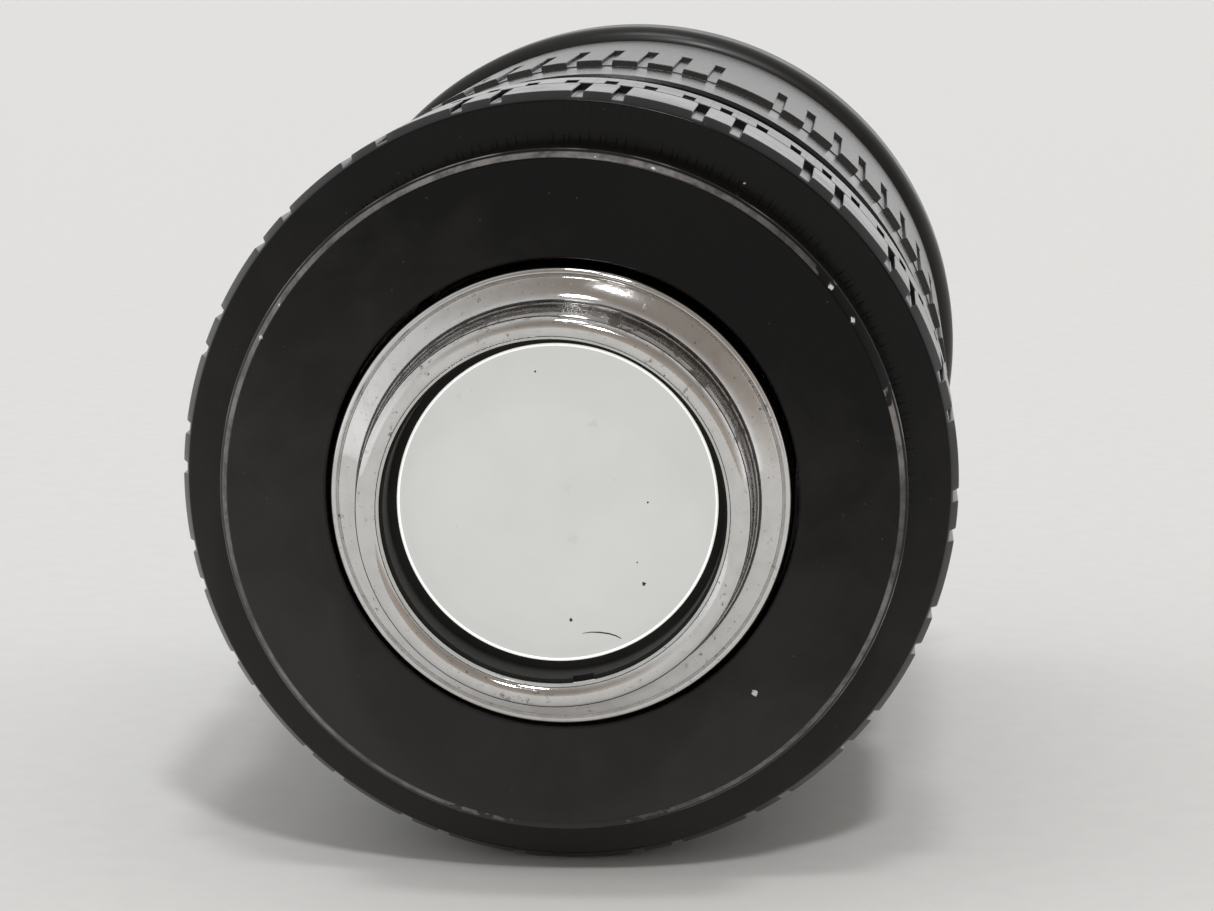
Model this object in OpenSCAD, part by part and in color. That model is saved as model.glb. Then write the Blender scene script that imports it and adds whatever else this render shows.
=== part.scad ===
// Prime camera lens with a focusing ring, an aperture ring and an iris of six blades.
// Millimetres. The optical axis lies along Y, with the front of the lens towards +Y and +Z up.
// The origin is the centre of the rear plate's face. Modules draw the lens along their own z,
// which is the distance from that face towards the front, and along_lens() lays it down on Y.

/* [Outside] */
// Radius over the blocks of the aperture ring and the focus grip
ring_r = 30; // [29.8:0.1:30.2]
// Radius of the rim at the front end
rim_r = 31.3; // [31:0.1:33]
// Radius of the fixed barrel between the two rings
waist_r = 28.8; // [28.4:0.1:29.2]
// Radius of the plain band behind the focus grip
band_r = 29.5; // [29.3:0.1:29.6]

/* [Rear end] */
// Radius of the boss that carries the rear plate's face
boss_r = 26.1; // [26.05:0.01:26.12]
// Radius of the flat face, inside its chamfer
face_r = 25.4; // [24:0.1:25.6]
// Radius of the hole in the rear plate
plate_hole_r = 17.9; // [17.9:0.1:19]
// Radius of the chrome collar at its root
collar_r = 17.6; // [17.3:0.05:17.6]
// Radius of the hole in the chrome collar
throat_r = 12.74; // [12.7:0.02:13]
// How far the collar stands out behind the plate
collar_height = 8.2; // [8:0.1:9]

/* [Stations along the axis] */
// Rear face of the aperture ring
aperture_start = 5.45; // [5.42:0.01:5.5]
// Front face of the aperture ring
aperture_end = 24.7; // [24:0.1:24.8]
// Where the focusing sleeve starts
sleeve_start = 36.7; // [36.6:0.1:36.9]
// Where the rubber grip starts
grip_start = 47.7; // [47.2:0.1:48.2]
// Where the sleeve and its grip end
sleeve_end = 84.3; // [84:0.1:84.5]
// Where the front rim starts
rim_start = 84.9; // [84.8:0.1:85.2]
// Front end of the lens
front_end = 92; // [92:0.5:96]

/* [Knurling] */
// Degrees from one notch to the next
notch_pitch = 6; // [6]
// Width of a notch
notch_width = 0.95; // [0.6:0.05:1.2]
// Depth of a notch
notch_depth = 0.45; // [0.3:0.05:0.6]
// Angle of the first place of the aperture ring's notches, seen from the rear
aperture_phase = 4.6; // [0:0.1:6]
// Angle of the first notch of the focus grip, seen from the rear
grip_phase = 0.2; // [0:0.1:6]
// Length of the grip's notches
grip_notch_length = 16; // [10:1:30]

/* [Movements] */
// Turn of the aperture ring from wide open to the smallest stop, degrees
aperture_turn = 50; // [40:1:50]
// Turn of each blade over the same range, degrees
blade_turn = 39; // [30:1:39]
// Turn of the focusing ring from infinity to the nearest distance, degrees
focus_turn = 250; // [180:5:260]
// Forward travel of the optics over the same range
focus_travel = 13; // [8:0.5:13]

/* [Iris] */
// Number of blades
blades = 6; // [6]
// Radius of the circle of blade pivots
pivot_circle_r = 17.4; // [17.3:0.05:17.5]
// Radius of the wide open aperture
open_r = 14.6; // [14.5:0.05:14.7]
// Outer radius of a blade
blade_outer_r = 19.6; // [19.4:0.05:19.7]
// Thickness of a blade
blade_thickness = 0.12; // [0.08:0.01:0.14]
// Slope of a blade, so that each lies over the next
blade_slope = 0.06; // [0.055:0.005:0.065]

/* [Hidden] */
$fn = 120;
glass_fn = 250; // shallow glass surfaces need fine steps

run_fit = 0.05; // radial clearance of a running fit
journal_r = boss_r - 0.3; // the aperture ring turns on this, held from behind by the boss
bore_r = boss_r - 1.05; // bore of the fixed barrel, in which the inner barrel slides
inner_r = bore_r - run_fit; // outside of the inner barrel
inner_bore_r = 23; // bore of the inner barrel
front_journal_r = 26.9; // the focusing sleeve turns on this
sleeve_bore_r = 27.5; // bore of the focusing sleeve in front of its journal
grip_seat_r = 28.4; // the rubber grip sits on this
block_r = ring_r + 0.05; // over the blocks of the focus grip
boss_end = 5.4; // the fixed barrel starts here
waist_start = aperture_end + 0.2;
waist_end = sleeve_start - 0.2;
barrel_end = 51.9; // front end of the fixed barrel
spigot_end = 8.6; // the rear plate reaches this far into the barrel
inner_start = 14; // rear end of the inner barrel
inner_end = 74;

plate_screw_angles = [30, 150, 270];
plate_screw_z = 7.2;
plate_screw_r = 0.8;

key_angles = [-20, 160];
key_start = 28.2;
key_end = 33.2;
key_width = 4;
key_screw_r = 0.9;
key_screw_z = (key_start + key_end) / 2;
key_head_r = 1.6;
key_head_seat = waist_r - 0.9;

stop_angle = 200; // place of the focusing stop, seen from the rear
stop_r = 0.9;
stop_z = 44;
stop_groove_r = 28.6;

fork_angle = 163.2; // the fork and the cam's drive pin, seen from the rear
fork_start = 9.7;
fork_foot_end = 12.9;
fork_foot_width = 7;
fork_inner_r = 20.9;
fork_outer_r = 22.5;
fork_foot_r = 27.1;
fork_prong_width = 5.2;
fork_slot_start = 28.2;
fork_end = 44;
fork_screw_r = 0.7;
fork_screw_offset = 2;
drive_pin_r = 1;
drive_pin_z = 29.6;

detent_angle = -40;
detent_z = 20;
ball_r = 0.8;
ball_centre_r = journal_r + 0.02 + ball_r;
detent_hole_r = 0.85;
detent_hole_end = 28.7;
click_depth = 0.15;
clicks = 6;

helicoid_start = 54.6;
helicoid_end = 68;
helicoid_screw_angles = [60, 180, 300];
helicoid_screw_z = 60;
helicoid_screw_r = 0.9;

hub_r = 15.15; // the cam ring turns on this
cam_start = 28.4;
cam_end = 30.8;
base_start = 30.9; // the plate that carries the blades
base_end = 32.1;
iris_wall_r = 20.5;
iris_bore_r = 19.9;
iris_flange_start = 44.5;
iris_flange_end = 47;
blade_z = 32.4;
blade_lean = 160; // direction in which a blade rises, from its pivot's radius, degrees
blade_tail = 102; // degrees of arc from a blade's pivot to its tail
pivot_r = 0.5;
stud_r = 0.6;
stud_offset = 3.5; // distance from a blade's pivot to its drive stud
stud_angle = 90 - blade_turn / 2;
stud_fit = 0.06;
pivot_fit = 0.03;

glass_r = 13.6; // rear glasses
rear_bore_r = 13.65;
rear_seat_z = -0.6; // the collar is seated on the rear cell here
rear_glass_z = -3.2; // where the rear glass's rim lies, inside the collar
rear_dome_r = 11.95; // radius of its domed face
rear_dome_height = 0.9;
collar_lip = 0.4;
crest_r = 0.88; // radius of the rounded bead at the collar's mouth
crest_centre = [13.72, crest_r - collar_height];

// Frames and small helpers

module along_lens() {
    rotate([-90, 0, 0]) children();
}

// Turns a feature drawn on x to an angle that is seen from the rear, anticlockwise from +X
module around(angle) {
    rotate([0, 0, -angle]) children();
}

module turned(points) {
    rotate_extrude() polygon(points);
}

module ring(in_r, out_r, from, to) {
    turned([[in_r, from], [out_r, from], [out_r, to], [in_r, to]]);
}

// Part of a ring that starts at an angle seen from the rear and runs clockwise
module sector(in_r, out_r, from, to, start, sweep) {
    around(start)
        rotate_extrude(angle = sweep)
            polygon([[in_r, from], [out_r, from], [out_r, to], [in_r, to]]);
}

module radial_rod(r, from, to, z) {
    translate([from, 0, z]) rotate([0, 90, 0]) cylinder(r = r, h = to - from);
}

// A box whose length lies along the radius, drawn on x
module radial_box(from_r, to_r, width, from, to) {
    translate([from_r, -width / 2, from]) cube([to_r - from_r, width, to - from]);
}

function arc(centre, r, from, to, steps) =
    [for (i = [0 : steps]) centre + r * [cos(from + (to - from) * i / steps),
                                         sin(from + (to - from) * i / steps)]];

function turned_point(p, a) = [p[0] * cos(a) - p[1] * sin(a), p[0] * sin(a) + p[1] * cos(a)];

function sphere_r(rim, sag) = (rim * rim + sag * sag) / (2 * sag);

// A spherical cap that stands on z = 0
module cap(rim, sag) {
    intersection() {
        translate([0, 0, sag - sphere_r(rim, sag)]) sphere(r = sphere_r(rim, sag), $fn = glass_fn);
        cylinder(r = rim, h = sag + 1);
    }
}

// A spherical hollow below z = 0
module dish(rim, sag) {
    translate([0, 0, sphere_r(rim, sag) - sag]) sphere(r = sphere_r(rim, sag), $fn = glass_fn);
}

// Fixed barrel

module rear_plate() {
    color([0.13, 0.12, 0.12]) along_lens() difference() {
        turned([
            [plate_hole_r + 0.15, 0], [face_r, 0], [boss_r, 0.75], [boss_r, boss_end],
            [bore_r, boss_end], [bore_r, spigot_end], [bore_r - 1.85, spigot_end],
            [bore_r - 1.85, 3.2], [plate_hole_r, 3.2], [plate_hole_r, 0.15]
        ]);
        for (a = plate_screw_angles) {
            around(a) radial_rod(plate_screw_r, bore_r - 3, boss_r, plate_screw_z);
        }
    }
}

module plate_screws() {
    color("dimgray") along_lens() for (a = plate_screw_angles) {
        around(a) difference() {
            radial_rod(plate_screw_r, bore_r - 1.6, journal_r - 0.1, plate_screw_z);
            radial_box(journal_r - 0.5, journal_r, 0.3, plate_screw_z - 1, plate_screw_z + 1);
        }
    }
}

module click_groove() {
    translate([journal_r - click_depth + 0.9, 0, detent_z - 0.9]) cylinder(r = 0.9, h = 1.8);
}

module main_barrel() {
    foot_half = asin((fork_foot_width / 2 + 0.4) / bore_r);
    color([0.10, 0.10, 0.10]) along_lens() difference() {
        turned([
            [bore_r, boss_end], [journal_r, boss_end], [journal_r, waist_start],
            [waist_r - 0.3, waist_start], [waist_r, waist_start + 0.3],
            [waist_r, waist_end - 0.3], [waist_r - 0.3, waist_end],
            [front_journal_r, waist_end], [front_journal_r, barrel_end], [bore_r, barrel_end]
        ]);
        for (a = plate_screw_angles) {
            around(a) radial_rod(plate_screw_r, bore_r - 1, journal_r + 1, plate_screw_z);
        }
        for (a = key_angles) around(a) {
            radial_rod(key_screw_r, bore_r - 1, waist_r + 1, key_screw_z);
            radial_rod(key_head_r, key_head_seat, waist_r + 1, key_screw_z);
        }
        around(stop_angle) radial_rod(stop_r, bore_r - 1, front_journal_r + 1, stop_z);
        sector(bore_r - 1, journal_r + 1, fork_start - 0.3, fork_foot_end + 0.3,
            fork_angle + foot_half, aperture_turn + 2 * foot_half);
        for (i = [0 : clicks - 1]) {
            around(detent_angle - i * aperture_turn / (clicks - 1)) click_groove();
        }
    }
}

module barrel_nut() {
    color([0.16, 0.16, 0.16]) along_lens() difference() {
        ring(bore_r, front_journal_r + 0.45, barrel_end, barrel_end + 2.5);
        for (a = [0, 180]) {
            around(a) radial_box(bore_r - 1, sleeve_bore_r, 2, barrel_end + 1.5, barrel_end + 3);
        }
    }
}

module focus_keys() {
    color("goldenrod") along_lens() for (a = key_angles) around(a) difference() {
        intersection() {
            ring(inner_bore_r + 0.3, bore_r, key_start, key_end);
            radial_box(inner_bore_r, bore_r, key_width, key_start, key_end);
        }
        radial_rod(key_screw_r, inner_bore_r, bore_r + 1, key_screw_z);
    }
}

module key_screws() {
    color("silver") along_lens() for (a = key_angles) around(a) difference() {
        union() {
            radial_rod(key_screw_r, inner_bore_r + 0.6, key_head_seat + 0.1, key_screw_z);
            radial_rod(key_head_r, key_head_seat, waist_r - 0.1, key_screw_z);
        }
        radial_box(waist_r - 0.5, waist_r, 0.5, key_screw_z - 2, key_screw_z + 2);
    }
}

module focus_stop_screw() {
    color("silver") along_lens() around(stop_angle) {
        radial_rod(stop_r, inner_r + 0.3, stop_groove_r - 0.3, stop_z);
    }
}

// Aperture ring and its drive

module aperture_ring() {
    blocks_start = aperture_start + 1.25;
    blocks_end = 16.1;
    pads_start = 16.5;
    pads_end = 20.3;
    bright_start = 20.7;
    pad_phase = 1.3;
    color([0.14, 0.14, 0.13]) along_lens() difference() {
        turned([
            [journal_r + run_fit, aperture_start], [ring_r - 0.65, aperture_start],
            [ring_r, blocks_start], [ring_r, blocks_end], [ring_r - 0.3, blocks_end],
            [ring_r - 0.3, pads_start], [ring_r, pads_start], [ring_r, pads_end],
            [ring_r - 0.25, pads_end], [ring_r - 0.25, bright_start],
            [ring_r - 0.05, bright_start], [ring_r - 0.05, aperture_end - 0.4],
            [ring_r - 0.45, aperture_end], [journal_r + run_fit, aperture_end]
        ]);
        for (i = [0 : 360 / notch_pitch - 1]) {
            if (i % 3 != 0) {
                around(aperture_phase + i * notch_pitch)
                    radial_box(ring_r - notch_depth, ring_r + 1, notch_width,
                        aperture_start - 1, blocks_end - 0.3);
            }
            around(pad_phase + i * notch_pitch)
                radial_box(ring_r - 0.35, ring_r + 1, 1.0, pads_start - 0.1, pads_end + 0.1);
        }
        around(fork_angle) {
            radial_box(journal_r - 1, fork_foot_r, fork_foot_width, fork_start, fork_foot_end);
            for (side = [-1, 1]) translate([0, side * fork_screw_offset, 0])
                radial_rod(fork_screw_r, journal_r, fork_foot_r + 1.4,
                    (fork_start + fork_foot_end) / 2);
        }
        around(detent_angle) radial_rod(detent_hole_r, journal_r - 1, detent_hole_end, detent_z);
    }
}

module aperture_fork() {
    screw_z = (fork_start + fork_foot_end) / 2;
    color("goldenrod") along_lens() around(fork_angle) difference() {
        union() {
            radial_box(fork_inner_r, fork_foot_r, fork_foot_width, fork_start, fork_foot_end);
            radial_box(fork_inner_r, fork_outer_r, fork_prong_width, fork_start, fork_end);
        }
        radial_box(fork_inner_r - 1, fork_outer_r + 1, 2 * drive_pin_r + run_fit,
            fork_slot_start, fork_end + 1);
        for (side = [-1, 1]) translate([0, side * fork_screw_offset, 0]) {
            radial_rod(fork_screw_r, fork_inner_r - 1, fork_foot_r + 1, screw_z);
            radial_rod(fork_screw_r + 0.5, fork_inner_r - 1, fork_outer_r + 1.5, screw_z);
        }
    }
}

module fork_screws() {
    screw_z = (fork_start + fork_foot_end) / 2;
    color("silver") along_lens() around(fork_angle) for (side = [-1, 1]) {
        translate([0, side * fork_screw_offset, 0]) {
            radial_rod(fork_screw_r, fork_outer_r + 1, fork_foot_r + 1.4, screw_z);
            radial_rod(fork_screw_r + 0.45, fork_outer_r + 0.6, fork_outer_r + 1.5, screw_z);
        }
    }
}

module detent_ball() {
    color("silver") along_lens() around(detent_angle)
        translate([ball_centre_r, 0, detent_z]) sphere(r = ball_r, $fn = 32);
}

module detent_spring() {
    wire_r = 0.12;
    coil_r = 0.6;
    first = ball_centre_r + ball_r + wire_r;
    turns = 4;
    pitch = (detent_hole_end - wire_r - first) / (turns - 1);
    color("silver") along_lens() around(detent_angle) translate([first, 0, detent_z])
        rotate([0, 90, 0]) {
            for (i = [0 : turns - 1]) translate([0, 0, i * pitch])
                rotate_extrude($fn = 48) translate([coil_r, 0]) circle(r = wire_r, $fn = 16);
            translate([coil_r, 0, 0]) cylinder(r = wire_r * 0.8, h = (turns - 1) * pitch, $fn = 16);
        }
}

// Focusing ring

module focus_sleeve() {
    stop_half = asin((stop_r + 0.15) / front_journal_r);
    color([0.12, 0.12, 0.12]) along_lens() difference() {
        turned([
            [front_journal_r + run_fit, sleeve_start], [band_r - 0.3, sleeve_start],
            [band_r, sleeve_start + 0.3], [band_r, grip_start], [grip_seat_r, grip_start],
            [grip_seat_r, sleeve_end], [sleeve_bore_r, sleeve_end],
            [sleeve_bore_r, barrel_end - 0.1], [front_journal_r + run_fit, barrel_end - 0.1]
        ]);
        sector(front_journal_r - 1, stop_groove_r, stop_z - 1, stop_z + 1,
            stop_angle + stop_half + focus_turn, focus_turn + 2 * stop_half);
        for (a = helicoid_screw_angles) {
            around(a) radial_rod(helicoid_screw_r, sleeve_bore_r - 1, band_r, helicoid_screw_z);
        }
    }
}

module focus_grip() {
    blocks_start = grip_start + 0.9;
    missing_every = 12;
    missing_place = 11;
    color([0.11, 0.11, 0.11]) along_lens() difference() {
        turned([
            [grip_seat_r, grip_start], [band_r, grip_start], [band_r, blocks_start],
            [block_r, blocks_start], [block_r, sleeve_end - 1.2], [block_r - 0.5, sleeve_end],
            [grip_seat_r, sleeve_end]
        ]);
        for (i = [0 : 360 / notch_pitch - 1]) {
            if (i % missing_every != missing_place) {
                around(grip_phase + i * notch_pitch)
                    radial_box(block_r - notch_depth, block_r + 1, notch_width,
                        blocks_start - 1, blocks_start + grip_notch_length);
            }
        }
    }
}

module focus_helicoid() {
    color("gold") along_lens() difference() {
        ring(bore_r, sleeve_bore_r, helicoid_start, helicoid_end);
        for (a = helicoid_screw_angles) {
            around(a) radial_rod(helicoid_screw_r, bore_r + 0.9, sleeve_bore_r + 1,
                helicoid_screw_z);
        }
    }
}

module helicoid_screws() {
    color("dimgray") along_lens() for (a = helicoid_screw_angles) around(a) difference() {
        radial_rod(helicoid_screw_r, bore_r + 1, grip_seat_r - 0.05, helicoid_screw_z);
        radial_box(grip_seat_r - 0.4, grip_seat_r, 0.3, helicoid_screw_z - 2, helicoid_screw_z + 2);
    }
}

// Optics, which slide forward together to focus

module inner_barrel() {
    slot_width = key_width + 0.1;
    color("silver") along_lens() difference() {
        ring(inner_bore_r, inner_r, inner_start, inner_end);
        for (a = key_angles) {
            around(a) radial_box(inner_bore_r - 1, inner_r + 1, slot_width,
                inner_start - 1, key_end + 0.4);
        }
    }
}

filter_r = 28.6;
filter_start = 88;
filter_lip = 0.4;
nose_r = 27.1; // tube of the front barrel, inside the focusing sleeve
front_bore_r = 24.85;
front_seat_z = 75.5;
name_seat_z = 86.2;
name_r = 27.6;

module front_barrel() {
    color([0.12, 0.12, 0.12]) along_lens() turned([
        [inner_r, 70], [nose_r, 70], [nose_r, rim_start], [ring_r - 0.1, rim_start],
        [rim_r, rim_start + 2], [rim_r, front_end - filter_lip], [rim_r - filter_lip, front_end],
        [filter_r + filter_lip, front_end], [filter_r, front_end - filter_lip],
        [filter_r, filter_start], [name_r, filter_start], [name_r, name_seat_z],
        [front_bore_r, name_seat_z], [front_bore_r, front_seat_z],
        [front_bore_r - 1.45, front_seat_z], [front_bore_r - 1.45, inner_end],
        [inner_r, inner_end]
    ]);
}

module name_ring() {
    color([0.10, 0.10, 0.10]) along_lens() turned([
        [front_bore_r + 0.15, name_seat_z], [name_r, name_seat_z],
        [name_r, name_seat_z + 1.5], [front_bore_r + 0.15, name_seat_z + 0.7]
    ]);
}

front_edge_z = 79; // front edge of the front glass

module front_retainer() {
    color([0.08, 0.08, 0.08]) along_lens() difference() {
        turned([
            [front_bore_r - 0.8, front_edge_z], [front_bore_r, front_edge_z],
            [front_bore_r, name_seat_z], [front_bore_r - 0.5, name_seat_z]
        ]);
        for (a = [45, 225]) {
            around(a) radial_box(front_bore_r - 2, front_bore_r, 2, name_seat_z - 0.8,
                name_seat_z + 1);
        }
    }
}

module front_element() {
    color([0.55, 0.65, 0.75]) along_lens() difference() {
        union() {
            ring(0, front_bore_r - 0.05, front_seat_z, front_edge_z);
            translate([0, 0, front_edge_z]) cap(24, 4.9);
        }
        translate([0, 0, front_seat_z]) mirror([0, 0, 1]) dish(22.5, 0.8);
    }
}

module front_cell() {
    color([0.10, 0.10, 0.10]) along_lens() turned([
        [16.5, iris_flange_end], [inner_bore_r, iris_flange_end], [inner_bore_r, 73], [21, 73],
        [21, 61], [18, 61], [18, 50], [16.5, 50]
    ]);
}

module second_element() {
    color([0.55, 0.65, 0.75]) along_lens() difference() {
        union() {
            ring(0, 20.95, 61, 66);
            translate([0, 0, 66]) cap(20, 3);
        }
        translate([0, 0, 61]) mirror([0, 0, 1]) dish(17.5, 1.5);
    }
}

module second_retainer() {
    color([0.08, 0.08, 0.08]) along_lens() ring(20.1, 21, 66, 69);
}

module third_element() {
    color([0.55, 0.65, 0.75]) along_lens() difference() {
        ring(0, 17.95, 50, 54);
        translate([0, 0, 50]) mirror([0, 0, 1]) dish(15.5, 2);
        translate([0, 0, 54]) dish(15.5, 0.8);
    }
}

module third_retainer() {
    color([0.08, 0.08, 0.08]) along_lens() ring(16.2, 18, 54, 57);
}

// Iris, drawn for a blade whose pivot is on x; the others are turned round the axis

pivot = [pivot_circle_r, 0];

function stud_place(turn) =
    pivot + stud_offset * [cos(stud_angle + turn), sin(stud_angle + turn)];

// Place of a drive stud in the cam ring, when the ring has turned by a
function cam_path(a) = turned_point(stud_place(a * blade_turn / aperture_turn), -a);

function cam_side(a) =
    let (step = cam_path(a + 0.1) - cam_path(a - 0.1)) [-step[1], step[0]] / norm(step);

module each_blade() {
    for (i = [0 : blades - 1]) rotate([0, 0, i * 360 / blades]) children();
}

module cam_slot() {
    half = stud_r + stud_fit;
    steps = 20;
    turns = [for (i = [0 : steps]) aperture_turn * i / steps];
    translate([0, 0, cam_start - 1]) {
        linear_extrude(cam_end - cam_start + 2) polygon(concat(
            [for (a = turns) cam_path(a) + half * cam_side(a)],
            [for (i = [steps : -1 : 0]) cam_path(turns[i]) - half * cam_side(turns[i])]
        ));
        for (a = [0, aperture_turn]) {
            translate(cam_path(a)) cylinder(r = half, h = cam_end - cam_start + 2, $fn = 32);
        }
    }
}

module iris_cam_ring() {
    color("silver") along_lens() difference() {
        ring(hub_r + run_fit, iris_bore_r, cam_start, cam_end);
        each_blade() cam_slot();
        around(fork_angle) radial_rod(drive_pin_r, 18.2, iris_bore_r + 1, drive_pin_z);
    }
}

module iris_drive_pin() {
    color("goldenrod") along_lens() around(fork_angle)
        radial_rod(drive_pin_r, 18.2, fork_outer_r - 0.2, drive_pin_z);
}

// Arc slot in the base, for one blade's drive stud
module stud_slot() {
    half = stud_r + stud_fit;
    translate([pivot_circle_r, 0, 0]) {
        rotate([0, 0, stud_angle]) rotate_extrude(angle = blade_turn) polygon([
            [stud_offset - half, base_start - 1], [stud_offset + half, base_start - 1],
            [stud_offset + half, base_end + 1], [stud_offset - half, base_end + 1]
        ]);
        for (a = [stud_angle, stud_angle + blade_turn]) rotate([0, 0, a])
            translate([stud_offset, 0, base_start - 1]) cylinder(r = half, h = 3.2, $fn = 32);
    }
}

module iris_housing() {
    color([0.10, 0.10, 0.10]) along_lens() difference() {
        turned([
            [open_r, 27], [hub_r, 27], [hub_r, base_start], [iris_wall_r, base_start],
            [iris_wall_r, iris_flange_start], [inner_bore_r, iris_flange_start],
            [inner_bore_r, iris_flange_end], [19, iris_flange_end], [iris_bore_r, 44],
            [iris_bore_r, base_end], [open_r, base_end]
        ]);
        each_blade() {
            stud_slot();
            translate([pivot_circle_r, 0, base_start - 1])
                cylinder(r = pivot_r + pivot_fit, h = 3, $fn = 32);
        }
    }
}

module iris_cover() {
    color([0.08, 0.08, 0.08]) along_lens() ring(open_r, iris_bore_r, 34.6, 35.4);
}

module iris_clip() {
    color("silver") along_lens() ring(hub_r, hub_r + 2.3, 27.2, cam_start - 0.1);
}

module iris_blade(number) {
    mid_r = (open_r + blade_outer_r) / 2;
    half = (blade_outer_r - open_r) / 2;
    outline = concat(
        arc([0, 0], blade_outer_r, 0, blade_tail, 24),
        arc([0, 0], open_r, blade_tail, 0, 24),
        [for (i = [1 : 11]) [mid_r, 0] + half * [cos(180 + i * 15), sin(180 + i * 15)]]
    );
    color([0.22, 0.22, 0.23]) along_lens() rotate([0, 0, (number - 1) * 360 / blades]) {
        translate([pivot_circle_r, 0, blade_z])
            rotate(a = atan(blade_slope), v = [sin(blade_lean), -cos(blade_lean), 0])
                translate([-pivot_circle_r, 0, 0])
                    linear_extrude(blade_thickness) polygon(outline);
        translate([pivot_circle_r, 0, base_start + 0.1])
            cylinder(r = pivot_r, h = blade_z - base_start - 0.04, $fn = 32);
        translate([stud_place(0)[0], stud_place(0)[1], cam_start + 0.3])
            cylinder(r = stud_r, h = blade_z - cam_start - 0.24, $fn = 32);
    }
}

// Rear group

module rear_cell() {
    color([0.09, 0.09, 0.09]) along_lens() turned([
        [rear_bore_r, rear_seat_z], [15.5, rear_seat_z], [15.5, 3], [17.3, 3], [17.3, 20],
        [15.9, 22], [15.9, 27], [open_r, 27], [12.9, 14], [12.9, 9.2], [rear_bore_r, 9.2]
    ]);
}

module rear_collar() {
    color([0.80, 0.80, 0.80]) along_lens() turned(concat(
        [[throat_r, crest_centre[1] + 0.32]],
        arc(crest_centre, crest_r, 205, 350, 14),
        [
            [14.64, -5.7], [14.66, -4.2], [14.8, -3], [15.2, -2.2], [15.9, -1.65],
            [collar_r - 0.65, -1.2], [collar_r - 0.2, -1.2], [collar_r, -0.95],
            [collar_r, 3], [15.5, 3],
            [15.5, rear_seat_z], [rear_bore_r, rear_seat_z],
            [rear_bore_r, crest_centre[1] + 0.32 + collar_lip],
            [throat_r, crest_centre[1] + 0.32 + collar_lip]
        ]
    ));
}

module rear_retainer() {
    start = crest_centre[1] + 0.32 + collar_lip;
    color([0.17, 0.16, 0.16]) along_lens() difference() {
        ring(throat_r - 0.1, rear_bore_r, start, rear_glass_z);
        for (a = [100, 280]) {
            around(a) radial_box(throat_r - 1, rear_bore_r, 1.6, start - 1, start + 0.8);
        }
    }
}

module rear_element() {
    color([0.82, 0.84, 0.82]) along_lens() {
        ring(0, glass_r, rear_glass_z, 3.2);
        translate([0, 0, rear_glass_z]) mirror([0, 0, 1]) cap(rear_dome_r, rear_dome_height);
    }
}

module rear_spacer() {
    color([0.08, 0.08, 0.08]) along_lens() ring(12.6, rear_bore_r, 3.2, 6);
}

module rear_inner_element() {
    color([0.55, 0.65, 0.75]) along_lens() difference() {
        ring(0, glass_r, 6, 9.2);
        translate([0, 0, 9.2]) dish(12, 1);
    }
}

rear_plate();
plate_screws();
main_barrel();
barrel_nut();
focus_keys();
key_screws();
focus_stop_screw();
aperture_ring();
aperture_fork();
fork_screws();
detent_ball();
detent_spring();
focus_sleeve();
focus_grip();
focus_helicoid();
helicoid_screws();
inner_barrel();
front_barrel();
name_ring();
front_retainer();
front_element();
front_cell();
second_element();
second_retainer();
third_element();
third_retainer();
iris_housing();
iris_cover();
iris_clip();
rear_cell();
rear_collar();
rear_retainer();
rear_element();
rear_spacer();
rear_inner_element();
iris_cam_ring();
iris_drive_pin();
iris_blade(1);  // iris_blade_1
iris_blade(2);  // iris_blade_2
iris_blade(3);  // iris_blade_3
iris_blade(4);  // iris_blade_4
iris_blade(5);  // iris_blade_5
iris_blade(6);  // iris_blade_6
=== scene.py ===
import math

import bpy
import numpy as np
from mathutils import Matrix, Vector


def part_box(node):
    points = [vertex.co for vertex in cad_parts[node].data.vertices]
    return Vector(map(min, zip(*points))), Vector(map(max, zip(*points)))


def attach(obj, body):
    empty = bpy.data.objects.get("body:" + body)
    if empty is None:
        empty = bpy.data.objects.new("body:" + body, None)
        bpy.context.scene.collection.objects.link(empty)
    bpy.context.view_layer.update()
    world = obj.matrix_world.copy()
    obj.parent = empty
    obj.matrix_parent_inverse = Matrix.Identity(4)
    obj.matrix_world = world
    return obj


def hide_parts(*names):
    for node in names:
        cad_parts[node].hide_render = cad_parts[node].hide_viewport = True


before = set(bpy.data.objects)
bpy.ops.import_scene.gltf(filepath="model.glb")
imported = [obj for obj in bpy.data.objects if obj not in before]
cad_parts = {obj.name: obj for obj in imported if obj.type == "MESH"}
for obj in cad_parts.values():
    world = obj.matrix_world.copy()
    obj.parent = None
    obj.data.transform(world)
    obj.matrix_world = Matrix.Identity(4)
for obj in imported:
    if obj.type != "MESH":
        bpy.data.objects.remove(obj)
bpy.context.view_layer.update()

MM = 0.001


def corner(node, which):
    """One corner of a CAD node's box, in millimetres."""
    return [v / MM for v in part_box(node)[which]]


LOW, HIGH = 0, 1
RING_R = corner("aperture_ring", HIGH)[0]
RING_START = corner("aperture_ring", LOW)[1]
RING_END = corner("aperture_ring", HIGH)[1]
GRIP_R = corner("focus_grip", HIGH)[0]
GRIP_START = corner("focus_grip", LOW)[1]
GRIP_END = corner("focus_grip", HIGH)[1]
BOSS_R = corner("rear_plate", HIGH)[0]
PLATE_END = corner("rear_plate", HIGH)[1]
COLLAR_R = corner("rear_collar", HIGH)[0]
COLLAR_CREST = corner("rear_collar", LOW)[1]
COLLAR_END = corner("rear_collar", HIGH)[1]
RIM_R = corner("front_barrel", HIGH)[0]
NOSE_START = corner("front_barrel", LOW)[1]
FRONT_END = corner("front_barrel", HIGH)[1]
NAME_R = corner("name_ring", HIGH)[0]
NAME_START = corner("name_ring", LOW)[1]
FRONT_GLASS_R = corner("front_element", HIGH)[0]
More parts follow.
